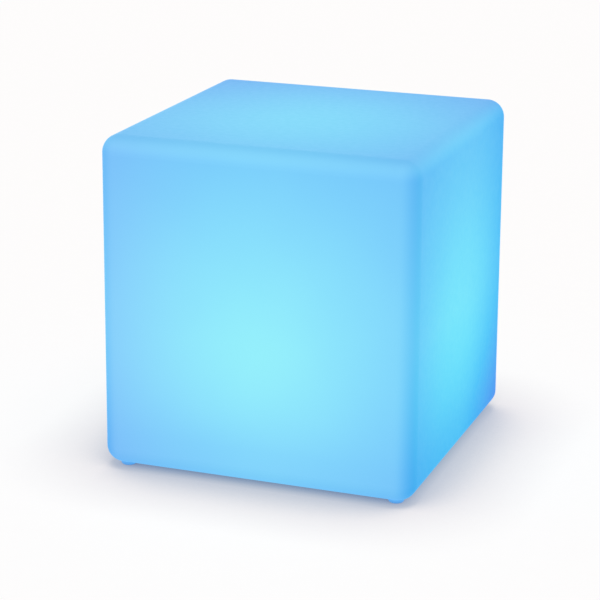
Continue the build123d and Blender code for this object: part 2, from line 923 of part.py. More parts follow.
keep("neck_ring", make_neck_ring())
keep("neck_gasket", make_neck_gasket())
neck_places = round_places(neck_screw_circle, neck_screw_count)
keep_group("neck_screws", [make_neck_screw(x, y) for x, y in neck_places])
keep("seal_ring", make_seal())

keep("module_housing", make_housing())
keep("lid_gasket", ring(housing_radius - press_gap, housing_bore, housing_top, lid_low))
keep("module_lid", make_lid())
keep_group("lid_screws", [lid_screw(x, y) for x, y in lid_post_places()])
keep("diffuser", make_diffuser())
keep("light_board", make_light_board())
keep_group("light_board_screws", [board_screw(x, y) for x, y in board_screw_places()])
keep_group("leds", make_leds())
keep("remote_receiver", make_receiver())
keep("light_lead", light_lead())

keep_group("battery_cells", [make_cell(x) for x in cell_places()])
keep("battery_cradle", make_cradle())
keep_group("battery_tabs", make_tabs())
keep("battery_strap", make_strap())
keep_group("battery_leads", battery_leads())
keep_group("socket_leads", socket_leads())
keep_group("switch_leads", switch_leads())

keep("control_board", make_control_board())
keep_group("control_screws", [small_screw(x, y, control_top) for x, y in control_post_places()])
for part_name, part_shape in zip(("driver_chip", "choke", "capacitor", "lead_socket"), control_parts()):
    keep(part_name, part_shape)

keep("button_bezel", make_bezel())
keep("power_button", make_button())
keep("button_spring", make_spring())
keep("switch_board", make_switch_board())
keep("press_switch", make_switch())
switch_screw_level = switch_board_low + switch_board_thick
keep_group("switch_screws", [small_screw(x, y, switch_screw_level) for x, y in switch_post_places()])

keep("charge_lens", make_lens())
keep("charge_socket", make_socket())
keep("socket_pin", make_socket_pin())
keep("socket_nut", make_socket_nut())
keep("socket_cover", make_cover())
keep("cover_pin", lying_bar(cover_pin_radius, cover_width + 2 * cover_pin_overhang - 2 * press_gap))
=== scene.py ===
import math
import bmesh
import bpy
from mathutils import Matrix, Vector


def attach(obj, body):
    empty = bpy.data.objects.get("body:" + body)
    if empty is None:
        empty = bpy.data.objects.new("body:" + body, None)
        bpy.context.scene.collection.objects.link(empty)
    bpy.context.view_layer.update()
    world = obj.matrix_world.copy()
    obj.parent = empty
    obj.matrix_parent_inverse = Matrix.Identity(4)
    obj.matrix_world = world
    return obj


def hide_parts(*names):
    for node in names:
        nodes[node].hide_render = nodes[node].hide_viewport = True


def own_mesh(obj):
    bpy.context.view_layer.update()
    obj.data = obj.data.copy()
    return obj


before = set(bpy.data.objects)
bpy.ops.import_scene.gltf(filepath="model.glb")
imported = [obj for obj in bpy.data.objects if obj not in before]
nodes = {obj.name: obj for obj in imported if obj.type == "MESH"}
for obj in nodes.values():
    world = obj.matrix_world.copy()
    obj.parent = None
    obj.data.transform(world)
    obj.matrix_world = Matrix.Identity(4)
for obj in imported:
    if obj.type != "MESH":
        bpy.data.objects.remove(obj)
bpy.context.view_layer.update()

print("frame loaded,", len(nodes), "nodes")


# small helpers for shader nodes

usualNoise = (0.3, 0.7)  # most of a noise texture's values lie between these


def emptyMaterial(name):
    material = bpy.data.materials.new(name)
    material.use_nodes = True
    tree = material.node_tree
    tree.nodes.clear()
    return material, tree, tree.nodes.new("ShaderNodeOutputMaterial")


def objectPlace(tree):
    return tree.nodes.new("ShaderNodeTexCoord").outputs["Object"]


def startMaterial(name):
    material, tree, output = emptyMaterial(name)
    shader = tree.nodes.new("ShaderNodeBsdfPrincipled")
    tree.links.new(shader.outputs[0], output.inputs["Surface"])
    return material, tree, shader, objectPlace(tree)


def setInput(tree, socket, value):
    if isinstance(value, bpy.types.NodeSocket):
        tree.links.new(value, socket)
    elif isinstance(value, tuple) and socket.type == "RGBA":
        socket.default_value = (*value[:3], 1.0)
    else:
        socket.default_value = value


def calc(tree, operation, *values, clamp=False):
    node = tree.nodes.new("ShaderNodeMath")
    node.operation = operation
    node.use_clamp = clamp
    for socket, value in zip(node.inputs, values):
        setInput(tree, socket, value)
    return node.outputs[0]


def calcVector(tree, operation, *values):
    node = tree.nodes.new("ShaderNodeVectorMath")
    node.operation = operation
    for socket, value in zip(node.inputs, values):
        setInput(tree, socket, value)
    return node.outputs["Value" if operation == "DOT_PRODUCT" else "Vector"]


def splitAxes(tree, vector):
    node = tree.nodes.new("ShaderNodeSeparateXYZ")
    tree.links.new(vector, node.inputs[0])
    return node.outputs


def addShares(tree, total, *partShares):
    for part, share in partShares:
        total = calc(tree, "MULTIPLY_ADD", part, share, total)
    return total


def product(tree, first, *others):
    for other in others:
        first = calc(tree, "MULTIPLY", first, other)
    return first


def sumOfSquares(tree, first, second):
    return calc(tree, "ADD", product(tree, first, first), product(tree, second, second))


def noise(tree, place, scale, detail=3.0, roughness=0.5, stretch=None):
    if stretch:
        mapping = tree.nodes.new("ShaderNodeMapping")
        mapping.inputs["Scale"].default_value = stretch
        tree.links.new(place, mapping.inputs["Vector"])
        place = mapping.outputs["Vector"]
    node = tree.nodes.new("ShaderNodeTexNoise")
    node.inputs["Scale"].default_value = scale
    node.inputs["Detail"].default_value = detail
    node.inputs["Roughness"].default_value = roughness
    tree.links.new(place, node.inputs["Vector"])
    return node.outputs["Fac"]


def ramp(tree, factor, *stops):
    node = tree.nodes.new("ShaderNodeValToRGB")
    elements = node.color_ramp.elements
    while len(elements) < len(stops):
        elements.new(0.5)
    for element, (position, colour) in zip(elements, stops):
        element.position = position
        element.color = (*colour, 1.0)
    tree.links.new(factor, node.inputs["Fac"])
    return node.outputs["Color"]


def span(tree, value, low, high, newLow, newHigh):
    node = tree.nodes.new("ShaderNodeMapRange")
    for socket, amount in zip(node.inputs, (value, low, high, newLow, newHigh)):
        setInput(tree, socket, amount)
    return node.outputs["Result"]


def blend(tree, share, first, second):
    node = tree.nodes.new("ShaderNodeMix")
    node.data_type = "RGBA"
    for socket, value in zip((node.inputs[0], node.inputs[6], node.inputs[7]), (share, first, second)):
        setInput(tree, socket, value)
    return node.outputs[2]


def bump(tree, height, strength, distance):
    node = tree.nodes.new("ShaderNodeBump")
    node.inputs["Strength"].default_value = strength
    node.inputs["Distance"].default_value = distance
    tree.links.new(height, node.inputs["Height"])
    return node.outputs["Normal"]


def setRoughness(tree, shader, detail, low, high):
    setInput(tree, shader.inputs["Roughness"], span(tree, detail, *usualNoise, low, high))


def setRelief(tree, shader, height, strength, distance):
    setInput(tree, shader.inputs["Normal"], bump(tree, height, strength, distance))


def seenDirectly(tree):
    paths = tree.nodes.new("ShaderNodeLightPath")
    seen = calc(tree, "MAXIMUM", paths.outputs["Is Camera Ray"], paths.outputs["Is Glossy Ray"])
    return calc(tree, "MAXIMUM", seen, paths.outputs["Is Transmission Ray"])


def giveMaterial(nodeName, material):
    mesh = nodes[nodeName].data
    mesh.materials.clear()
    mesh.materials.append(material)


# lit skin of the cube: light from the base falls on the walls, and a haze of it fills the hollow; painted
# into the same glow are a highlight along the rounded top edges and the studio light's shade on the side
# walls

half = 0.5
fullShare = 4.0  # a product of two shares that add up to 1 has its top at 1 when it is times this

skinLook = {
    "size": 0.4,  # cube width, which the places and distances below are counted in
    "reflected": (0.10, 0.12, 0.15),
    "steady": 0.410,
    "source": (0.0, -0.062, 0.123),
    "sourceSoft": 0.02,
    "direct": 0.0577,
    "hazeCentre": (0.0, -0.010, 0.4415),
    "hazeSpread": 0.33,
    "haze": 0.2888,
    "climb": 0.0376,
    "topLoss": 0.1853,
    "topBackLoss": 0.073,
    "sideLoss": 0.0897,
    "baseLoss": 0.0658,
    "cornerLoss": 0.040,
    "frontLean": 0.025,  # towards the right edge of the front
    # painted highlight along the rounded top edges, and its shift down the round towards the walls, which
    # darkens the round's upper half
    "ridgeHighlight": 0.026,
    "ridgeHighlightShift": 0.052,
    "lowShare": 1.6,
    "farLoss": 0.07,  # towards the foot and the back edges of the two side walls
    "lowBackLoss": (0.24, 0.10),  # plain and squared share of the way back, low on the side walls
    "leftLoss": 0.028,  # towards the left edge of the front, which is a little more violet
    "red": (0.0417, 0.3451, -0.0502),  # squared, plain and fixed share of the level, which is the green
    # painted shade and light in the red: it is less on the side walls, where the studio light falls little,
    # and less on the top, which the lamps already light
    "redShares": {
        "top": -0.385,
        "side": -0.50,
        "far": -0.55,
        "left": 0.30,
        "lowBack": -4.0,
        "lean": -0.15,
        # painted highlight: more red along the rounded top edges
        "highlightRidge": 0.086,
        "lowFront": 0.08,
    },
    "blue": (-0.5875, 0.8202, 0.6334),
    "blueShares": {"top": -0.163, "side": -0.063, "lowBack": 0.4},
    "roughness": 0.5,
    "sheen": 0.08,
    "grainScale": 900.0,
    "pebbleScale": 900.0 / 7,
    "pebbleShare": 1.5,
    "grainDepth": 0.00005,
    "cloudScale": 9.0,
    "cloudShare": 0.012,
}


def wallLight(tree, look):
    coordinates = tree.nodes.new("ShaderNodeTexCoord")
    scaled = calcVector(tree, "MULTIPLY", coordinates.outputs["Object"], (1 / look["size"],) * 3)
    across, depth, climb = splitAxes(tree, scaled)
    back = calc(tree, "MAXIMUM", depth, 0.0)
    outward = coordinates.outputs["Normal"]
    axes = splitAxes(tree, outward)
    sideways, frontways, upright = (calc(tree, "POWER", calc(tree, "ABSOLUTE", axis), 2.0) for axis in axes)
    up = calc(tree, "POWER", calc(tree, "MAXIMUM", axes[2], 0.0), 2.0)
    fromSource = calcVector(tree, "SUBTRACT", scaled, look["source"])
    rise = calc(tree, "MAXIMUM", splitAxes(tree, fromSource)[2], 0.0)
    facing = calc(tree, "MAXIMUM", calcVector(tree, "DOT_PRODUCT", fromSource, outward), 0.0)
    apart = calc(tree, "ADD", calcVector(tree, "DOT_PRODUCT", fromSource, fromSource), look["sourceSoft"])
    direct = calc(tree, "DIVIDE", product(tree, rise, facing), calc(tree, "POWER", apart, 2.0))
    fromHaze = calcVector(tree, "SUBTRACT", scaled, look["hazeCentre"])
    nearHaze = calc(tree, "SUBTRACT", half * half, calcVector(tree, "DOT_PRODUCT", fromHaze, fromHaze))
    haze = calc(tree, "EXPONENT", calc(tree, "DIVIDE", nearHaze, look["hazeSpread"]))
    # painted highlight along the rounded top edges, strongest halfway round
    highlightRidge = product(tree, up, calc(tree, "SUBTRACT", 1.0, up), fullShare)
    backSquare = calc(tree, "POWER", back, 2.0)
    lowDown = calc(tree, "MAXIMUM", calc(tree, "SUBTRACT", half, climb), 0.0)
    lowSquare = calc(tree, "POWER", calc(tree, "MULTIPLY", lowDown, 2.0), 2.0)
    far = addShares(tree, product(tree, lowDown, look["lowShare"]), (backSquare, fullShare))
    far = product(tree, far, sideways)
    leftward = calc(tree, "POWER", calc(tree, "MAXIMUM", calc(tree, "MULTIPLY", across, -2.0), 0.0), 2.0)
    left = product(tree, leftward, frontways)
    plainShare, squaredShare = look["lowBackLoss"]
    wayBack = addShares(tree, product(tree, back, plainShare), (backSquare, squaredShare))
    lowBack = product(tree, lowSquare, sideways, wayBack)
    level = addShares(
        tree,
        look["steady"],
        (direct, look["direct"]),
        (haze, look["haze"]),
        (climb, look["climb"]),
        (up, -look["topLoss"]),
        (sideways, -look["sideLoss"]),
        (calc(tree, "SUBTRACT", upright, up), -look["baseLoss"]),
        (product(tree, sideways, frontways, fullShare), -look["cornerLoss"]),
        # the next two shares paint a highlight along the rounded top edges
        (highlightRidge, look["ridgeHighlight"]),
        (product(tree, highlightRidge, calc(tree, "SUBTRACT", up, half)), -look["ridgeHighlightShift"]),
        (far, -look["farLoss"]),
        (left, -look["leftLoss"]),
        (lowBack, -1.0),
        (product(tree, up, depth), -look["topBackLoss"]),
        (product(tree, frontways, across), look["frontLean"]),
    )
    return level, {
        "top": up,
        "side": sideways,
        "far": far,
        "left": left,
        "lowBack": lowBack,
        "highlightRidge": highlightRidge,
        "lean": product(tree, up, across),
        "lowFront": product(tree, lowSquare, frontways),
    }


def glowColour(tree, level, parts, look):
    channels = []
    for name in ("red", "blue"):
        squared, plain, fixed = look[name]
        curve = calc(tree, "MULTIPLY_ADD", level, squared, plain)
        # for the red these shares paint the studio light's shade on the side walls and the highlight on the
        # top edges
        shares = look[name + "Shares"]
        kept = addShares(tree, 1.0, *((parts[part], share) for part, share in shares.items()))
        channels.append(product(tree, calc(tree, "MULTIPLY_ADD", curve, level, fixed), kept))
    joined = tree.nodes.new("ShaderNodeCombineXYZ")
    setInput(tree, joined.inputs[0], calc(tree, "MAXIMUM", channels[0], 0.0))
    setInput(tree, joined.inputs[1], level)
    setInput(tree, joined.inputs[2], channels[1])
    return joined.outputs[0]


def litSkin(name, look):
    material, tree, shader, place = startMaterial(name)
    level, parts = wallLight(tree, look)
    cloud = noise(tree, place, look["cloudScale"], 2.0)
    share = look["cloudShare"]
    level = product(tree, level, span(tree, cloud, *usualNoise, 1 - share, 1 + share))
    grain = noise(tree, place, look["grainScale"], 2.0)
    pebble = noise(tree, place, look["pebbleScale"], 2.0)
    relief = addShares(tree, grain, (pebble, look["pebbleShare"]))
    setInput(tree, shader.inputs["Base Color"], look["reflected"])
    setRoughness(tree, shader, pebble, look["roughness"] - 0.04, look["roughness"] + 0.05)
    shader.inputs["Specular IOR Level"].default_value = look["sheen"]
    setRelief(tree, shader, relief, 0.5, look["grainDepth"])
    setInput(tree, shader.inputs["Emission Color"], glowColour(tree, level, parts, look))
    shader.inputs["Emission Strength"].default_value = 1.0
    return material


giveMaterial("shell", litSkin("litSkin", skinLook))

footLook = {
    "reflected": (0.22, 0.32, 0.42),
    "glow": ((0.0, (0.05, 0.26, 0.64)), (1.0, (0.10, 0.44, 0.86))),  # from the floor up to the shell
    "height": 0.012,
    "roughness": 0.45,
    "grainScale": 700.0,
    "grainDepth": 0.00005,
}


def litFoot(name, look):
    material, tree, shader, place = startMaterial(name)
    climb = span(tree, splitAxes(tree, place)[2], 0.0, look["height"], 0.0, 1.0)
    grain = noise(tree, place, look["grainScale"], 2.0)
    setInput(tree, shader.inputs["Base Color"], look["reflected"])
    setRoughness(tree, shader, grain, look["roughness"], look["roughness"] + 0.08)
    setRelief(tree, shader, grain, 0.5, look["grainDepth"])
    setInput(tree, shader.inputs["Emission Color"], ramp(tree, climb, *look["glow"]))
    shader.inputs["Emission Strength"].default_value = 1.0
    return material


footMaterial = litFoot("litFoot", footLook)
for foot in ("foot_front_left", "foot_front_right", "foot_back_left", "foot_back_right"):
    giveMaterial(foot, footMaterial)
print("skin and feet done")


# finishes of the base parts, each with its own grain, shade and gloss

mm = 0.001


def polar(tree, axes):
    return calc(tree, "SQRT", sumOfSquares(tree, axes[0], axes[1])), calc(tree, "ARCTAN2", axes[1], axes[0])


def darker(colour, share):
    return tuple(channel * (1 - share) for channel in colour)


plasticLooks = {  # colour, shade between light and dark parts, roughness, grain, its depth in mm, sheen
    "satinNeck": ((0.86, 0.88, 0.90), 0.06, 0.38, 1800.0, 0.02, 0.5),
    "sparkedHousing": ((0.82, 0.84, 0.86), 0.07, 0.50, 1300.0, 0.06, 0.45),
    "satinLid": ((0.88, 0.89, 0.90), 0.05, 0.34, 1600.0, 0.02, 0.5),
    "blackCradle": ((0.035, 0.035, 0.038), 0.25, 0.48, 1500.0, 0.03, 0.5),
    "blackStrap": ((0.05, 0.05, 0.055), 0.20, 0.55, 2200.0, 0.04, 0.4),
    "naturalPlug": ((0.80, 0.77, 0.69), 0.06, 0.32, 2500.0, 0.01, 0.5),
    "greyBezel": ((0.26, 0.28, 0.30), 0.10, 0.36, 2000.0, 0.02, 0.5),
    "smoothButton": ((0.085, 0.095, 0.11), 0.12, 0.24, 2600.0, 0.006, 0.5),
    "blackSwitch": ((0.018, 0.018, 0.020), 0.20, 0.30, 3000.0, 0.01, 0.5),
    "blackSocket": ((0.022, 0.022, 0.025), 0.20, 0.28, 2400.0, 0.01, 0.5),
    "darkEpoxy": ((0.016, 0.016, 0.018), 0.30, 0.46, 3500.0, 0.02, 0.45),
    "ferrite": ((0.045, 0.046, 0.050), 0.35, 0.58, 4200.0, 0.05, 0.35),
    "receiverLens": ((0.020, 0.010, 0.022), 0.15, 0.10, 900.0, 0.002, 0.6),
    "symbolWhite": ((0.72, 0.75, 0.78), 0.06, 0.35, 2600.0, 0.01, 0.5),
}
plasticWear = {
    "flow": 45.0,
    "flowStretch": (1.0, 1.0, 2.2),
    "scuff": 260.0,
    "scuffStretch": (1.0, 0.12, 1.0),
    "scuffedOver": (0.60, 0.72),
    "scuffedShare": 0.10,
    "paler": (1.15, 0.01, 0.95),  # times the colour, added to it, and the palest
}


def mouldedPlastic(name, wear=plasticWear):
    colour, shade, roughness, grainScale, depth, sheen = plasticLooks[name]
    material, tree, shader, place = startMaterial(name)
    grain = noise(tree, place, grainScale, 3.0, 0.6)
    flow = noise(tree, place, wear["flow"], stretch=wear["flowStretch"])
    scuffs = noise(tree, place, wear["scuff"], 4.0, 0.7, wear["scuffStretch"])
    scuffed = span(tree, scuffs, *wear["scuffedOver"], 0.0, wear["scuffedShare"])
    shaded = ramp(tree, flow, (0.32, darker(colour, shade)), (0.68, colour))
    times, added, palest = wear["paler"]
    pale = tuple(min(channel * times + added, palest) for channel in colour)
    setInput(tree, shader.inputs["Base Color"], blend(tree, scuffed, shaded, pale))
    rough = span(tree, grain, *usualNoise, roughness - 0.04, roughness + 0.05)
    setInput(tree, shader.inputs["Roughness"], calc(tree, "ADD", rough, scuffed, clamp=True))
    shader.inputs["Specular IOR Level"].default_value = sheen
    setRelief(tree, shader, grain, 0.6, depth * mm)
    return material


rubberLooks = {  # colour, dust on it, roughness, grain, its depth in mm
    "blackSeal": ((0.020, 0.020, 0.022), (0.075, 0.075, 0.078), 0.62, 2600.0, 0.03),
    "greyCover": ((0.095, 0.105, 0.115), (0.150, 0.158, 0.165), 0.66, 2200.0, 0.04),
}


def softRubber(name):
    colour, dust, roughness, grainScale, depth = rubberLooks[name]
    material, tree, shader, place = startMaterial(name)
    grain = noise(tree, place, grainScale, 2.0)
    dusted = noise(tree, place, 150.0, 5.0, 0.65)
    setInput(tree, shader.inputs["Base Color"], ramp(tree, dusted, (0.42, colour), (0.70, dust)))
    rough = span(tree, dusted, 0.35, 0.7, roughness - 0.08, roughness + 0.14)
    setInput(tree, shader.inputs["Roughness"], rough)
    shader.inputs["Specular IOR Level"].default_value = 0.4
    shader.inputs["Sheen Weight"].default_value = 0.15
    setRelief(tree, shader, grain, 0.6, depth * mm)
    return material


metalLooks = {  # colour, tarnish on it, roughness, stretch and fineness of the drawing lines
    "zincScrew": ((0.62, 0.63, 0.65), (0.66, 0.64, 0.56), 0.27, (1.0, 1.0, 9.0), 700.0),
    "nickelStrip": ((0.70, 0.69, 0.66), (0.62, 0.61, 0.58), 0.22, (0.15, 1.0, 6.0), 900.0),
    "springWire": ((0.60, 0.61, 0.63), (0.50, 0.50, 0.52), 0.24, (1.0, 1.0, 1.0), 1600.0),
    "goldPin": ((0.86, 0.66, 0.34), (0.78, 0.58, 0.28), 0.18, (1.0, 1.0, 12.0), 1200.0),
    "platedNut": ((0.72, 0.72, 0.73), (0.62, 0.62, 0.64), 0.16, (1.0, 1.0, 8.0), 1100.0),
    "solder": ((0.68, 0.69, 0.70), (0.55, 0.56, 0.58), 0.30, (1.0, 1.0, 1.0), 2200.0),
    "copperWinding": ((0.72, 0.34, 0.16), (0.58, 0.25, 0.11), 0.26, (1.0, 1.0, 1.0), 2500.0),
}


def brightMetal(name):
    colour, tint, roughness, lines, fineness = metalLooks[name]
    material, tree, shader, place = startMaterial(name)
    drawn = noise(tree, place, fineness, 4.0, 0.6, lines)
    tarnish = noise(tree, place, 300.0)
    setInput(tree, shader.inputs["Base Color"], ramp(tree, tarnish, (0.40, colour), (0.66, tint)))
    shader.inputs["Metallic"].default_value = 1.0
    setRoughness(tree, shader, drawn, roughness - 0.06, roughness + 0.12)
    setRelief(tree, shader, drawn, 0.4, 0.01 * mm)
    return material


# shrink wrap on the cells, open at the ends where the bare can shows

cellLook = {
    "wrap": (0.020, 0.105, 0.36),
    "wrapDeep": (0.014, 0.075, 0.28),
    "can": (0.66, 0.66, 0.67),
    "pitch": 19.0 * mm,
    "axisLevel": 32.5 * mm,
    "openRadius": 7.6 * mm,
    "openFrom": 31.9 * mm,
    "creaseFrom": 28.0 * mm,
    "roughness": 0.22,
}


def wrappedCell(look):
    material, tree, shader, place = startMaterial("wrappedCell")
    axes = splitAxes(tree, place)
    turns = calc(tree, "ROUND", calc(tree, "DIVIDE", axes[0], look["pitch"]))
    across = calc(tree, "SUBTRACT", axes[0], product(tree, turns, look["pitch"]))
    above = calc(tree, "SUBTRACT", axes[2], look["axisLevel"])
    along = calc(tree, "ABSOLUTE", axes[1])
    fromAxis = calc(tree, "SQRT", sumOfSquares(tree, across, above))
    inside = calc(tree, "LESS_THAN", fromAxis, look["openRadius"])
    bare = product(tree, inside, calc(tree, "GREATER_THAN", along, look["openFrom"]))
    shade = noise(tree, place, 90.0, stretch=(1.0, 0.2, 1.0))
    wrap = ramp(tree, shade, (0.35, look["wrapDeep"]), (0.65, look["wrap"]))
    setInput(tree, shader.inputs["Base Color"], blend(tree, bare, wrap, look["can"]))
    setInput(tree, shader.inputs["Metallic"], bare)
    creases = noise(tree, place, 900.0, 3.0, 0.6, (1.0, 0.15, 1.0))
    nearEnd = span(tree, along, look["creaseFrom"], look["openFrom"], 0.05, 1.0)
    setRoughness(tree, shader, creases, look["roughness"], look["roughness"] + 0.12)
    setRelief(tree, shader, product(tree, creases, nearEnd), 0.7, 0.12 * mm)
    return material


# printed boards: solder mask over copper tracks, with round tinned pads

boardLooks = {  # mask, track under it, pad, step of the pattern
    "greenBoard": ((0.012, 0.130, 0.045), (0.030, 0.210, 0.080), (0.70, 0.70, 0.68), 1.9 * mm),
    "whiteBoard": ((0.84, 0.85, 0.85), (0.76, 0.77, 0.78), (0.72, 0.72, 0.70), 2.6 * mm),
}
boardPattern = {  # in steps of the pattern, and the draws under or over which a square has its track or pad
    "trackHalf": 0.13,
    "lengthwaysUnder": 0.42,
    "crosswaysOver": 0.38,
    "padSquare": 0.055,
    "padOver": 0.86,
}


def maskedBoard(name, pattern=boardPattern):
    maskColour, trackColour, padColour, step = boardLooks[name]
    material, tree, shader, place = startMaterial(name)
    axes = splitAxes(tree, place)
    flat = tree.nodes.new("ShaderNodeCombineXYZ")
    for index in (0, 1):
        setInput(tree, flat.inputs[index], calc(tree, "DIVIDE", axes[index], step))
    squareStart = calcVector(tree, "FLOOR", flat.outputs[0])
    inSquare = calcVector(tree, "SUBTRACT", flat.outputs[0], squareStart)
    inSquare = splitAxes(tree, calcVector(tree, "SUBTRACT", inSquare, (half, half, 0.0)))
    drawn = tree.nodes.new("ShaderNodeTexWhiteNoise")
    drawn.noise_dimensions = "3D"
    tree.links.new(squareStart, drawn.inputs["Vector"])
    pick = drawn.outputs["Value"]
    fromX, fromY = (calc(tree, "ABSOLUTE", inSquare[index]) for index in (0, 1))
    onX, onY = (calc(tree, "LESS_THAN", away, pattern["trackHalf"]) for away in (fromX, fromY))
    lengthways = product(tree, onX, calc(tree, "LESS_THAN", pick, pattern["lengthwaysUnder"]))
    crossways = product(tree, onY, calc(tree, "GREATER_THAN", pick, pattern["crosswaysOver"]))
    track = calc(tree, "MAXIMUM", lengthways, crossways)
    inPad = calc(tree, "LESS_THAN", sumOfSquares(tree, fromX, fromY), pattern["padSquare"])
    pad = product(tree, inPad, calc(tree, "GREATER_THAN", pick, pattern["padOver"]))
    colour = blend(tree, track, maskColour, trackColour)
    setInput(tree, shader.inputs["Base Color"], blend(tree, pad, colour, padColour))
    setInput(tree, shader.inputs["Metallic"], pad)
    ripple = noise(tree, place, 1200.0, 2.0)
    setRoughness(tree, shader, ripple, 0.20, 0.30)
    setRelief(tree, shader, addShares(tree, calc(tree, "ADD", track, pad), (ripple, 0.15)), 0.6, 0.035 * mm)
    return material


# lights under a milky dome: two rings of them, which show through it as soft spots

lightRings = {
    "outer": {"radius": 36.0 * mm, "count": 12, "start": 15.0},
    "inner": {"radius": 19.08 * mm, "count": 6, "start": 30.0},
}


def nearestLight(tree, place):
    out, around = polar(tree, splitAxes(tree, place))
    nearest = 1.0
    for rings in lightRings.values():
        step = math.radians(360.0 / rings["count"])
        turned = calc(tree, "DIVIDE", calc(tree, "SUBTRACT", around, math.radians(rings["start"])), step)
        offset = calc(tree, "SUBTRACT", turned, calc(tree, "ROUND", turned))
        sideways = product(tree, offset, step, rings["radius"])
        outwards = calc(tree, "SUBTRACT", out, rings["radius"])
        apart = calc(tree, "SQRT", sumOfSquares(tree, sideways, outwards))
        nearest = calc(tree, "MINIMUM", apart, nearest)
    return nearest


diffuserLook = {
    "reflected": (0.55, 0.60, 0.66),
    "between": (0.10, 0.36, 0.80),
    "over": (0.34, 0.76, 1.0),
    "spotReach": 9.0 * mm,
    "roughness": 0.42,
}


def milkyDiffuser(look):
    material, tree, shader, place = startMaterial("milkyDiffuser")
    near = span(tree, nearestLight(tree, place), 0.0, look["spotReach"], 1.0, 0.0)
    smooth = product(tree, near, near)
    grain = noise(tree, place, 1500.0, 2.0)
    setInput(tree, shader.inputs["Base Color"], look["reflected"])
    setInput(tree, shader.inputs["Emission Color"], blend(tree, smooth, look["between"], look["over"]))
    shader.inputs["Emission Strength"].default_value = 0.8
    setRoughness(tree, shader, grain, look["roughness"] - 0.03, look["roughness"] + 0.05)
    setRelief(tree, shader, grain, 0.5, 0.02 * mm)
    return material


ledLook = {
    "package": (0.80, 0.80, 0.76),
    "glow": (0.22, 0.62, 1.0),
    "rim": (0.03, 0.12, 0.30),
    "window": 2.0 * mm,
    "windowEdge": (0.6, 1.15),  # shares of the window over which the light goes out
}


def litLed(look):
    material, tree, shader, place = startMaterial("litLed")
    apart = nearestLight(tree, place)
    edge = [look["window"] * share for share in look["windowEdge"]]
    shine = span(tree, apart, *edge, 1.0, 0.0)
    speckle = noise(tree, place, 3000.0, 2.0)
    shaded = ramp(tree, speckle, (0.3, darker(look["package"], 0.06)), (0.7, look["package"]))
    setInput(tree, shader.inputs["Base Color"], shaded)
    setInput(tree, shader.inputs["Emission Color"], blend(tree, shine, look["rim"], look["glow"]))
    shader.inputs["Emission Strength"].default_value = 1.0
    setRoughness(tree, shader, speckle, 0.22, 0.34)
    setRelief(tree, shader, speckle, 0.4, 0.01 * mm)
    return material


# plastic-covered wires: one colour on each side of the middle

wireLooks = {  # colours left and right of the middle, and where it is
    "lampWire": ((0.72, 0.72, 0.70), (0.72, 0.72, 0.70), 0.0),
    "batteryWires": ((0.018, 0.018, 0.020), (0.42, 0.018, 0.014), -4.0 * mm),
    "socketWires": ((0.018, 0.018, 0.020), (0.42, 0.018, 0.014), 0.0),
    "switchWires": ((0.60, 0.60, 0.58), (0.020, 0.075, 0.34), 0.0),
}


def wireCover(name):
    left, right, middle = wireLooks[name]
    material, tree, shader, place = startMaterial(name)
    colour = blend(tree, calc(tree, "GREATER_THAN", splitAxes(tree, place)[0], middle), left, right)
    drawn = noise(tree, place, 1400.0)
    worn = span(tree, drawn, 0.35, 0.7, 0.0, 0.14)
    setInput(tree, shader.inputs["Base Color"], blend(tree, worn, colour, (0.5, 0.5, 0.5)))
    setRoughness(tree, shader, drawn, 0.34, 0.46)
    setRelief(tree, shader, drawn, 0.4, 0.02 * mm)
    return material


capacitorLook = {
    "centre": (9.0 * mm, -39.0 * mm),
    "sleeve": (0.020, 0.022, 0.028),
    "band": (0.50, 0.51, 0.52),
    "bandHalf": 0.42,  # radians
    "can": (0.72, 0.72, 0.73),
    "sleeveTop": 24.0 * mm,
    "topRadius": 2.7 * mm,
    "vent": 0.16 * mm,
}


def sleevedCan(look):
    material, tree, shader, place = startMaterial("sleevedCan")
    fromCentre = calcVector(tree, "SUBTRACT", place, (*look["centre"], 0.0))
    axes = splitAxes(tree, fromCentre)
    out, around = polar(tree, axes)
    high = calc(tree, "GREATER_THAN", axes[2], look["sleeveTop"])
    bare = product(tree, high, calc(tree, "LESS_THAN", out, look["topRadius"]))
    banded = calc(tree, "LESS_THAN", calc(tree, "ABSOLUTE", around), look["bandHalf"])
    sleeve = blend(tree, banded, look["sleeve"], look["band"])
    setInput(tree, shader.inputs["Base Color"], blend(tree, bare, sleeve, look["can"]))
    setInput(tree, shader.inputs["Metallic"], bare)
    arms = [calc(tree, "LESS_THAN", calc(tree, "ABSOLUTE", axes[index]), look["vent"]) for index in (0, 1)]
    vent = product(tree, calc(tree, "MAXIMUM", *arms), bare)
    drawn = noise(tree, place, 1300.0)
    setRoughness(tree, shader, drawn, 0.20, 0.32)
    setRelief(tree, shader, calc(tree, "SUBTRACT", product(tree, drawn, 0.1), vent), 0.8, 0.1 * mm)
    return material


lensLook = {"colour": (0.86, 0.95, 0.90), "roughness": 0.08}


def clearLens(look):
    material, tree, shader, place = startMaterial("clearLens")
    flow = noise(tree, place, 500.0)
    shaded = ramp(tree, flow, (0.35, darker(look["colour"], 0.10)), (0.65, look["colour"]))
    setInput(tree, shader.inputs["Base Color"], shaded)
    shader.inputs["Transmission Weight"].default_value = 0.85
    shader.inputs["IOR"].default_value = 1.49
    setRoughness(tree, shader, flow, look["roughness"], look["roughness"] + 0.06)
    setRelief(tree, shader, flow, 0.3, 0.02 * mm)
    return material


housingPlastic = mouldedPlastic("sparkedHousing")
neckPlastic = mouldedPlastic("satinNeck")
screwMetal = brightMetal("zincScrew")
springMetal = brightMetal("springWire")
solderMetal = brightMetal("solder")
chipPlastic = mouldedPlastic("darkEpoxy")
sealRubber = softRubber("blackSeal")
greenBoard = maskedBoard("greenBoard")

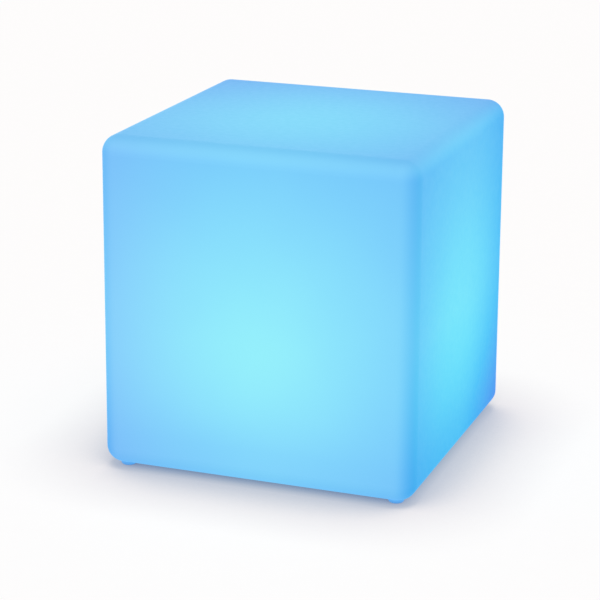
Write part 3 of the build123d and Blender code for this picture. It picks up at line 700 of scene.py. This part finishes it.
finishes = {
    "neck_ring": neckPlastic,
    "neck_gasket": sealRubber,
    "seal_ring": sealRubber,
    "lid_gasket": sealRubber,
    "module_housing": housingPlastic,
    "module_lid": mouldedPlastic("satinLid"),
    "diffuser": milkyDiffuser(diffuserLook),
    "light_board": maskedBoard("whiteBoard"),
    "leds": litLed(ledLook),
    "remote_receiver": mouldedPlastic("receiverLens"),
    "light_lead": wireCover("lampWire"),
    "battery_cells": wrappedCell(cellLook),
    "battery_cradle": mouldedPlastic("blackCradle"),
    "battery_tabs": brightMetal("nickelStrip"),
    "battery_strap": mouldedPlastic("blackStrap"),
    "battery_leads": wireCover("batteryWires"),
    "socket_leads": wireCover("socketWires"),
    "switch_leads": wireCover("switchWires"),
    "control_board": greenBoard,
    "switch_board": greenBoard,
    "driver_chip": chipPlastic,
    "choke": mouldedPlastic("ferrite"),
    "capacitor": sleevedCan(capacitorLook),
    "lead_socket": mouldedPlastic("naturalPlug"),
    "button_bezel": mouldedPlastic("greyBezel"),
    "power_button": mouldedPlastic("smoothButton"),
    "button_spring": springMetal,
    "press_switch": mouldedPlastic("blackSwitch"),
    "charge_lens": clearLens(lensLook),
    "charge_socket": mouldedPlastic("blackSocket"),
    "socket_pin": brightMetal("goldPin"),
    "socket_nut": brightMetal("platedNut"),
    "socket_cover": softRubber("greyCover"),
    "cover_pin": springMetal,
}
for nodeName, finish in finishes.items():
    giveMaterial(nodeName, finish)
print("finishes given to", len(finishes), "inner nodes")


# small pieces that stand on the base parts

def finishPiece(name, form, material, body, sharpAt=35.0):
    bmesh.ops.remove_doubles(form, verts=form.verts, dist=0.002 * mm)
    bmesh.ops.recalc_face_normals(form, faces=form.faces)
    mesh = bpy.data.meshes.new(name)
    form.to_mesh(mesh)
    form.free()
    mesh.shade_smooth()
    mesh.set_sharp_from_angle(angle=math.radians(sharpAt))
    mesh.materials.append(material)
    piece = bpy.data.objects.new(name, mesh)
    bpy.context.scene.collection.objects.link(piece)
    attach(piece, body)
    return piece


def picked(parts, kind):
    return [part for part in parts if isinstance(part, kind)]


def edgesOf(verts):
    return list(dict.fromkeys(edge for vertex in verts for edge in vertex.link_edges))


def bevelledBlock(form, size, centre, turn, edge):
    turned = Matrix.Translation(Vector(centre) * mm) @ Matrix.Rotation(turn, 4, "Z")
    sized = Matrix.Diagonal((size[0] * mm, size[1] * mm, size[2] * mm, 1.0))
    made = bmesh.ops.create_cube(form, size=1.0, matrix=turned @ sized)["verts"]
    bmesh.ops.bevel(
        form,
        geom=edgesOf(made),
        offset=edge * mm,
        offset_type="OFFSET",
        affect="EDGES",
        segments=2,
        profile=0.5,
        material=-1,
    )


def ringPlaces(radius, count, start):
    angles = [math.radians(start + 360.0 * index / count) for index in range(count)]
    return [(radius * math.cos(angle), radius * math.sin(angle), angle) for angle in angles]


# pieces swept round the z axis: a face to start from, the sweep, and the face at its end

def ringProfile(form, corners, degrees):
    verts = [form.verts.new((radius * mm, 0.0, height * mm)) for radius, height in corners]
    edges = [form.edges.new(pair) for pair in zip(verts, verts[1:] + verts[:1])]
    turned = Matrix.Rotation(math.radians(degrees), 3, "Z")
    bmesh.ops.rotate(form, verts=verts, cent=(0.0, 0.0, 0.0), matrix=turned)
    form.faces.new(verts)
    return edges + verts


def rectangle(look):
    inner, outer = (look["radius"] + side * look["width"] / 2 for side in (-1, 1))
    return (inner, look["low"]), (outer, look["low"]), (outer, look["high"]), (inner, look["high"])


def wireProfile(form, wire, radius, level):
    turned = Matrix.Rotation(math.pi / 2, 4, "X")
    side = bmesh.ops.create_circle(form, segments=10, radius=wire * mm, matrix=turned)["verts"]
    bmesh.ops.translate(form, verts=side, vec=(radius * mm, 0.0, level * mm))
    profile = edgesOf(side) + list(side)
    form.faces.new(side)
    return profile


def sweep(form, profile, degrees, steps, rise=0.0):
    swept = bmesh.ops.spin(
        form,
        geom=profile,
        cent=(0.0, 0.0, 0.0),
        axis=(0.0, 0.0, 1.0),
        dvec=(0.0, 0.0, rise * mm / steps),
        angle=math.radians(degrees),
        steps=steps,
        use_merge=False,
    )["geom_last"]
    return [part for part in swept if not isinstance(part, bmesh.types.BMFace)]


def closeEnd(form, last):
    bmesh.ops.contextual_create(form, geom=picked(last, bmesh.types.BMEdge))


threadLook = {
    "starts": 3,
    "lead": 12.0,
    "low": 17.0,
    "turns": 1.9,
    "stepsPerTurn": 72,
    "rootWidth": 1.6,
    "crestWidth": 0.8,
    "module": {"root": 61.1, "crest": 61.75, "phase": 0.0},
    "neck": {"root": 62.1, "crest": 61.45, "phase": 60.0},
}


def threadPiece(name, side, look, material, body):
    form = bmesh.new()
    root, crest = look["rootWidth"] / 2, look["crestWidth"] / 2
    halves = ((side["root"], -root), (side["crest"], -crest), (side["crest"], crest), (side["root"], root))
    corners = [(radius, look["low"] + height) for radius, height in halves]
    turns = look["turns"]
    for start in range(look["starts"]):
        profile = ringProfile(form, corners, side["phase"] + 360.0 * start / look["starts"])
        steps = round(turns * look["stepsPerTurn"])
        closeEnd(form, sweep(form, profile, 360.0 * turns, steps, turns * look["lead"]))
    return finishPiece(name, form, material, body, 30.0)


threadPiece("moduleThread", threadLook["module"], threadLook, housingPlastic, "module")
threadPiece("neckThread", threadLook["neck"], threadLook, neckPlastic, "shell")


# cross-headed screws, their heads up, or down for the neck

screwLooks = {
    "neck_screws": {
        "circle": (78.0, 6, 0.0), "face": 15.0, "facing": -1, "head": 3.4, "headDepth": 2.0, "sunk": True,
        "shank": 1.55, "tip": 28.0, "body": "shell",
    },
    "lid_screws": {
        "circle": (52.5, 4, 45.0), "face": 50.6, "facing": 1, "head": 3.0, "headDepth": 2.0,
        "shank": 1.5, "tip": 36.1, "body": "module",
    },
    "light_board_screws": {
        "circle": (28.08, 3, 90.0), "face": 49.4, "facing": 1, "head": 2.4, "headDepth": 1.2,
        "shank": 1.2, "tip": 44.1, "body": "module",
    },
    "control_screws": {
        "places": ((12.0, -17.0), (-12.0, -17.0), (12.0, -47.0), (-12.0, -47.0)), "face": 16.8, "facing": 1,
        "head": 1.9, "headDepth": 1.2, "shank": 1.0, "tip": 12.6, "body": "module",
    },
    "switch_screws": {
        "places": ((13.0, 0.0), (-13.0, 0.0)), "face": 21.4, "facing": 1, "head": 1.9, "headDepth": 1.2,
        "shank": 1.0, "tip": 17.2, "body": "module",
    },
}
screwShape = {
    "armReach": 0.60,  # the cross, in radii of the head
    "armHalf": 0.13,
    "cornerIn": 0.72,  # of the reach
    "crossTaper": 0.72,
    "crossDepth": 0.55,  # of the head's depth
    "roundHead": ((0.82, 0.10), (0.97, 0.42), (1.0, 0.70), (0.97, 1.0)),  # in its radii and depths
    "sunkTop": 0.93,
    "sunkRim": 0.12,  # in mm
    "sunkFoot": 1.02,  # from here on in radii of the shank
    "pitch": 0.62,
    "plainNeck": 0.6,  # of the pitch
    "root": 0.80,
    "crest": 0.98,
    "plainTip": 0.6,
    "tip": ((0.45, 0.15), (0.2, 0.0)),  # with the distance to the end in mm
}


def ringOut(form, rim, radius, level):
    grown = bmesh.ops.extrude_edge_only(form, edges=rim)["geom"]
    for vertex in picked(grown, bmesh.types.BMVert):
        away = math.hypot(vertex.co.x, vertex.co.y)
        vertex.co = (vertex.co.x / away * radius * mm, vertex.co.y / away * radius * mm, level * mm)
    return [edge for edge in picked(grown, bmesh.types.BMEdge) if len(edge.link_faces) == 1]


def crossScrew(form, look, shape, x, y):
    head, depth, shank = look["head"], look["headDepth"], look["shank"]
    length = abs(look["tip"] - look["face"])
    arm, reach = head * shape["armHalf"], head * shape["armReach"]
    made = bmesh.ops.create_grid(form, x_segments=3, y_segments=3, size=reach * mm)["verts"]
    for vertex in made:
        inner = [abs(value) < reach / 2 * mm for value in vertex.co[:2]]
        outer = reach if any(inner) else reach * shape["cornerIn"]
        for axis in (0, 1):
            vertex.co[axis] = math.copysign((arm if inner[axis] else outer) * mm, vertex.co[axis])
    faces = dict.fromkeys(face for vertex in made for face in vertex.link_faces)
    rim = [edge for edge in edgesOf(made) if len(edge.link_faces) == 1]
    centres = {face: face.calc_center_median() for face in faces}
    cross = [face for face in faces if min(abs(centres[face].x), abs(centres[face].y)) < arm / 2 * mm]
    sunk = bmesh.ops.extrude_face_region(form, geom=cross)["geom"]
    bmesh.ops.delete(form, geom=cross, context="FACES")
    taper = shape["crossTaper"]
    for vertex in picked(sunk, bmesh.types.BMVert):
        vertex.co = (vertex.co.x * taper, vertex.co.y * taper, -depth * shape["crossDepth"] * mm)
    if "sunk" in look:
        top, foot = head * shape["sunkTop"], shank * shape["sunkFoot"]
        rings = [(top, 0.0), (head, -shape["sunkRim"]), (foot, -depth)]
    else:
        rings = [(head * out, -depth * down) for out, down in shape["roundHead"]] + [(shank, -depth)]
    pitch, root, crest = (shank * shape[key] for key in ("pitch", "root", "crest"))
    level = -depth - pitch * shape["plainNeck"]
    while level - pitch > -length + shank * shape["plainTip"]:
        rings += [(root, level), (crest, level - pitch / 2)]
        level -= pitch
    rings += [(root, level)] + [(shank * out, -length + before) for out, before in shape["tip"]]
    for radius, ringLevel in rings:
        rim = ringOut(form, rim, radius, ringLevel)
    bmesh.ops.holes_fill(form, edges=rim, sides=0)
    whole = [vertex for vertex in form.verts if not vertex.tag]
    place = Matrix.Translation((x * mm, y * mm, look["face"] * mm))
    turned = Matrix.Rotation(math.pi if look["facing"] < 0 else 0.0, 4, "X")
    spun = Matrix.Rotation(x * 1.7 + y, 4, "Z")  # so that the crosses point different ways
    bmesh.ops.transform(form, matrix=place @ turned @ spun, verts=whole)
    for vertex in whole:
        vertex.tag = True


for screwNode, look in screwLooks.items():
    giveMaterial(screwNode, screwMetal)
    form = bmesh.new()
    places = look["places"] if "places" in look else [place[:2] for place in ringPlaces(*look["circle"])]
    for x, y in places:
        crossScrew(form, look, screwShape, x, y)
    pieceName = screwNode.replace("_", "") + "Cross"
    screws = finishPiece(pieceName, form, screwMetal, look["body"], 50.0)
    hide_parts(screwNode)
print("threads and screws done")


# raised marks on the face of the module: arrows that show which way it comes out, and ribs for the hand

arrowLook = {
    "radius": 64.0,
    "width": 2.4,
    "low": 8.55,
    "high": 9.1,
    "sweep": 44.0,
    "starts": (28.0, 208.0),
    "headLength": 6.0,
    "headWidth": 3.4,
    "headProud": 0.16,
    "coneLength": 1.5,  # of a three-sided cone with a radius of 1
    "coneHalf": 0.866,
    "steps": 24,
}


def turnArrows(look):
    form = bmesh.new()
    length, width = look["headLength"] / look["coneLength"], look["headWidth"] / look["coneHalf"]
    middle = Matrix.Translation((look["radius"], 0.0, (look["low"] + look["high"]) / 2))
    # the heads point clockwise seen from above, the way the module unscrews
    head = middle @ Matrix.Rotation(-math.pi / 2, 4, "Z") @ Matrix.Diagonal((length, width, 1.0, 1.0))
    for start in look["starts"]:
        profile = ringProfile(form, rectangle(look), start)
        closeEnd(form, sweep(form, profile, look["sweep"], look["steps"]))
        bmesh.ops.create_cone(
            form,
            cap_ends=True,
            segments=3,
            radius1=1.0,
            radius2=1.0,
            depth=look["high"] - look["low"] + look["headProud"],
            matrix=Matrix.Scale(mm, 4) @ Matrix.Rotation(math.radians(start), 4, "Z") @ head,
        )
    return finishPiece("turnArrows", form, housingPlastic, "module")


turnArrows(arrowLook)

ribLook = {"count": 48, "inner": 74.0, "outer": 83.0, "width": 1.3, "low": 8.5, "high": 9.2, "edge": 0.22}


def gripRibs(look):
    form = bmesh.new()
    size = (look["outer"] - look["inner"], look["width"], look["high"] - look["low"])
    level = (look["low"] + look["high"]) / 2
    for x, y, angle in ringPlaces((look["inner"] + look["outer"]) / 2, look["count"], 0.0):
        bevelledBlock(form, size, (x, y, level), angle, look["edge"])
    return finishPiece("gripRibs", form, housingPlastic, "module")


gripRibs(ribLook)

pocketRibLook = {
    "wall": 21.0,
    "proud": 0.7,
    "width": 1.4,
    "low": 9.6,
    "high": 17.2,
    "places": (-15.0, -10.0, -5.0, 0.0, 5.0, 10.0, 15.0),
    "edge": 0.3,
}


def pocketRibs(look):
    form = bmesh.new()
    size = (2 * look["proud"], look["width"], look["high"] - look["low"])
    level = (look["low"] + look["high"]) / 2
    for x in (-look["wall"], look["wall"]):
        for y in look["places"]:
            bevelledBlock(form, size, (x, y, level), 0.0, look["edge"])
    return finishPiece("pocketRibs", form, housingPlastic, "module")


pocketRibs(pocketRibLook)

symbolLook = {
    "radius": 2.6,
    "width": 0.6,
    "low": 8.45,
    "high": 9.0,
    "gap": 60.0,
    "barStart": 0.9,
    "barEnd": 3.5,
    "edge": 0.08,
    "steps": 48,
}


def powerSymbol(look):
    form = bmesh.new()
    profile = ringProfile(form, rectangle(look), 90.0 + look["gap"] / 2)
    closeEnd(form, sweep(form, profile, 360.0 - look["gap"], look["steps"]))
    size = (look["width"], look["barEnd"] - look["barStart"], look["high"] - look["low"])
    centre = (0.0, (look["barStart"] + look["barEnd"]) / 2, (look["low"] + look["high"]) / 2)
    bevelledBlock(form, size, centre, 0.0, look["edge"])
    return finishPiece("powerSymbol", form, mouldedPlastic("symbolWhite"), "button")


powerSymbol(symbolLook)

springLook = {
    "radius": 6.1,
    "wire": 0.35,
    "low": 14.02,
    "high": 18.98,
    "endTurns": 0.8,  # closed turn at each end
    "openTurns": 2.6,
    "closedPitch": 2.1,  # in radii of the wire
    "stepsPerTurn": 40,
    "travel": 1.8,
}


def buttonSpring(look):
    form = bmesh.new()
    wire, length = look["wire"], look["high"] - look["low"]
    profile = wireProfile(form, wire, look["radius"], look["low"] + wire)
    closedRise = look["closedPitch"] * wire * look["endTurns"]
    closed = (look["endTurns"], closedRise)
    opened = (look["openTurns"], length - 2 * wire - 2 * closedRise)
    for turns, rise in (closed, opened, closed):
        profile = sweep(form, profile, 360.0 * turns, round(turns * look["stepsPerTurn"]), rise)
    closeEnd(form, profile)
    spring = finishPiece("coiledSpring", form, springMetal, "module")
    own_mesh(spring)
    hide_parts("button_spring")


buttonSpring(springLook)
print("arrows, ribs and button symbol done")


# small parts on the boards

chipLegLook = {
    "centre": (6.0, -28.0),
    "pitch": 1.1,
    "count": 8,
    "board": 15.6,
    "foot": {"out": 5.25, "size": (0.8, 0.45, 0.18), "above": 0.1},
    "rise": {"out": 4.65, "size": (0.45, 0.45, 0.75), "above": 0.42},
    "edge": 0.05,
}


def chipLegs(look):
    form = bmesh.new()
    for side in (-1.0, 1.0):
        for index in range(look["count"]):
            y = look["centre"][1] + (index - (look["count"] - 1) / 2) * look["pitch"]
            for part in (look["foot"], look["rise"]):
                place = (look["centre"][0] + side * part["out"], y, look["board"] + part["above"])
                bevelledBlock(form, part["size"], place, 0.0, look["edge"])
    return finishPiece("chipLegs", form, solderMetal, "module")


chipLegs(chipLegLook)

windingLook = {
    "centre": (-8.0, -25.0),
    "radius": 4.05,
    "wire": 0.32,
    "low": 17.0,
    "turns": 3,
    "stepsPerTurn": 36,
}


def chokeWinding(look):
    form = bmesh.new()
    wire, turns = look["wire"], look["turns"]
    profile = wireProfile(form, wire, look["radius"], look["low"])
    closeEnd(form, sweep(form, profile, 360.0 * turns, turns * look["stepsPerTurn"], 2 * wire * turns))
    bmesh.ops.translate(form, verts=form.verts, vec=(look["centre"][0] * mm, look["centre"][1] * mm, 0.0))
    return finishPiece("chokeWinding", form, brightMetal("copperWinding"), "module")


chokeWinding(windingLook)

resistorLook = {
    "size": (2.0, 1.2, 0.55),
    "cap": 0.45,
    "edge": 0.06,
    "controlTop": 15.6,
    "controlPlaces": ((-8.0, -41.3), (-5.0, -41.3), (-2.0, -41.3), (-3.0, -17.5), (0.0, -17.5), (3.0, -17.5)),
    "lightTop": 48.2,
    "lightRadius": 27.5,
    "lightAngles": (0.0, 45.0, 135.0, 180.0, 240.0, 300.0),
}


def resistors(look):
    bodies, caps = bmesh.new(), bmesh.new()
    (length, width, height), cap, circle = look["size"], look["cap"], look["lightRadius"]
    spots = [(x, y, look["controlTop"] + height / 2, 0.0) for x, y in look["controlPlaces"]]
    for degrees in look["lightAngles"]:
        angle = math.radians(degrees)
        level = look["lightTop"] + height / 2
        spots.append((circle * math.cos(angle), circle * math.sin(angle), level, angle + math.pi / 2))
    for x, y, level, turn in spots:
        bevelledBlock(bodies, (length - 2 * cap, width, height), (x, y, level), turn, look["edge"])
        for away in (-(length - cap) / 2, (length - cap) / 2):
            place = (x + away * math.cos(turn), y + away * math.sin(turn), level)
            bevelledBlock(caps, (cap, width, height), place, turn, look["edge"])
    finishPiece("smallResistors", bodies, chipPlastic, "module")
    finishPiece("resistorCaps", caps, solderMetal, "module")


resistors(resistorLook)

ledPadLook = {"out": 2.8, "size": (0.9, 3.4, 0.4), "board": 48.2, "edge": 0.15}


def ledPads(look):
    form = bmesh.new()
    level = look["board"] + look["size"][2] / 2
    for rings in lightRings.values():
        for x, y, _ in ringPlaces(rings["radius"] / mm, rings["count"], rings["start"]):
            for side in (-1.0, 1.0):
                place = (x + side * look["out"], y, level)
                bevelledBlock(form, look["size"], place, 0.0, look["edge"])
    return finishPiece("ledPads", form, solderMetal, "module")


ledPads(ledPadLook)
print("board parts done")


# floor, light and camera

floorLook = {
    "half": 16.0,
    "colour": (0.180, 0.169, 0.178),
    "grain": 0.004,
    "liftWithPaintedShadow": (  # up to white for the camera and in reflections; where the object covers the floor it is darker and bluer, a painted shadow with a painted blue glow from the cube
        (0.00, (0.110, 0.130, 0.200)),
        (0.10, (0.255, 0.285, 0.370)),
        (0.30, (0.391, 0.414, 0.474)),
        (0.50, (0.416, 0.438, 0.494)),
        (0.75, (0.699, 0.681, 0.687)),
        (1.00, (0.822, 0.819, 0.807)),
    ),
    "paintedShadowReach": 0.145,  # the lift fades this near to the object: the cast shadow stays, and a painted shadow is laid over it
}


def makeFloor(look):
    grid = bmesh.new()
    bmesh.ops.create_grid(grid, x_segments=2, y_segments=2, size=look["half"])
    mesh = bpy.data.meshes.new("floor")
    grid.to_mesh(mesh)
    grid.free()
    floor = bpy.data.objects.new("floor", mesh)
    bpy.context.scene.collection.objects.link(floor)
    material, tree, output = emptyMaterial("paleFloor")
    matt = tree.nodes.new("ShaderNodeBsdfDiffuse")
    fineness = noise(tree, objectPlace(tree), 40.0)
    dark = tuple(channel - look["grain"] for channel in look["colour"])
    setInput(tree, matt.inputs["Color"], ramp(tree, fineness, (0.3, dark), (0.7, look["colour"])))
    # painted shadow: the camera's white is less and bluer where the ambient occlusion finds the object near
    near = tree.nodes.new("ShaderNodeAmbientOcclusion")
    near.samples = 16
    near.inputs["Distance"].default_value = look["paintedShadowReach"]
    liftWithPaintedShadow = tree.nodes.new("ShaderNodeEmission")
    setInput(tree, liftWithPaintedShadow.inputs["Color"], ramp(tree, near.outputs["AO"], *look["liftWithPaintedShadow"]))
    setInput(tree, liftWithPaintedShadow.inputs["Strength"], seenDirectly(tree))
    both = tree.nodes.new("ShaderNodeAddShader")
    tree.links.new(matt.outputs[0], both.inputs[0])
    tree.links.new(liftWithPaintedShadow.outputs[0], both.inputs[1])
    clear = tree.nodes.new("ShaderNodeBsdfTransparent")
    under = tree.nodes.new("ShaderNodeMixShader")  # clear from below, so that the base can be looked at
    tree.links.new(tree.nodes.new("ShaderNodeNewGeometry").outputs["Backfacing"], under.inputs[0])
    tree.links.new(both.outputs[0], under.inputs[1])
    tree.links.new(clear.outputs[0], under.inputs[2])
    tree.links.new(under.outputs[0], output.inputs["Surface"])
    mesh.materials.append(material)


makeFloor(floorLook)

lightLook = {
    "sky": (1.0, 1.0, 1.0),
    "ambient": 0.32,
    "backdrop": 0.985,  # the white that the camera and reflections see
    "softBox": {"from": (0.12, -0.12, 1.0), "spread": 50.0, "strength": 1.95},
}


def makeSoftBox(look):
    lamp = bpy.data.lights.new("softBox", "SUN")
    lamp.angle = math.radians(look["spread"])
    lamp.energy = look["strength"]
    holder = bpy.data.objects.new("softBox", lamp)
    holder.rotation_euler = (-Vector(look["from"])).to_track_quat("-Z", "Y").to_euler()
    holder.location = Vector(look["from"]) * 3.0
    bpy.context.scene.collection.objects.link(holder)


makeSoftBox(lightLook["softBox"])

world = bpy.data.worlds.new("studio")
bpy.context.scene.world = world
world.use_nodes = True
sky = world.node_tree
sky.nodes.clear()
skyOut = sky.nodes.new("ShaderNodeOutputWorld")
skyLight = sky.nodes.new("ShaderNodeBackground")
skyLight.inputs["Color"].default_value = (*lightLook["sky"], 1.0)
skyStrength = span(sky, seenDirectly(sky), 0.0, 1.0, lightLook["ambient"], lightLook["backdrop"])
setInput(sky, skyLight.inputs["Strength"], skyStrength)
sky.links.new(skyLight.outputs[0], skyOut.inputs["Surface"])

cameraLook = {
    "lens": 128.825,
    "azimuth": 19.981,
    "elevation": 17.126,
    "roll": 0.3623,
    "distance": 2.7313,
    "target": (-0.01276, 0.0, 0.18048),
}


def makeCamera(look):
    azimuth, elevation, roll = (math.radians(look[key]) for key in ("azimuth", "elevation", "roll"))
    level = math.cos(elevation)
    back = Vector((math.sin(azimuth) * level, -math.cos(azimuth) * level, math.sin(elevation)))
    right = Vector((math.cos(azimuth), math.sin(azimuth), 0.0))
    up = back.cross(right)
    turned = right * math.cos(roll) + up * math.sin(roll)
    camera = bpy.data.objects.new("camera", bpy.data.cameras.new("camera"))
    camera.data.lens = look["lens"]
    camera.data.sensor_width = 36.0
    frameAxes = Matrix((turned, back.cross(turned), back)).transposed()
    place = Vector(look["target"]) + back * look["distance"]
    camera.matrix_world = Matrix.Translation(place) @ frameAxes.to_4x4()
    bpy.context.scene.collection.objects.link(camera)
    bpy.context.scene.camera = camera


makeCamera(cameraLook)
bpy.context.scene.view_settings.view_transform = "Standard"
print("stage, light and camera done")
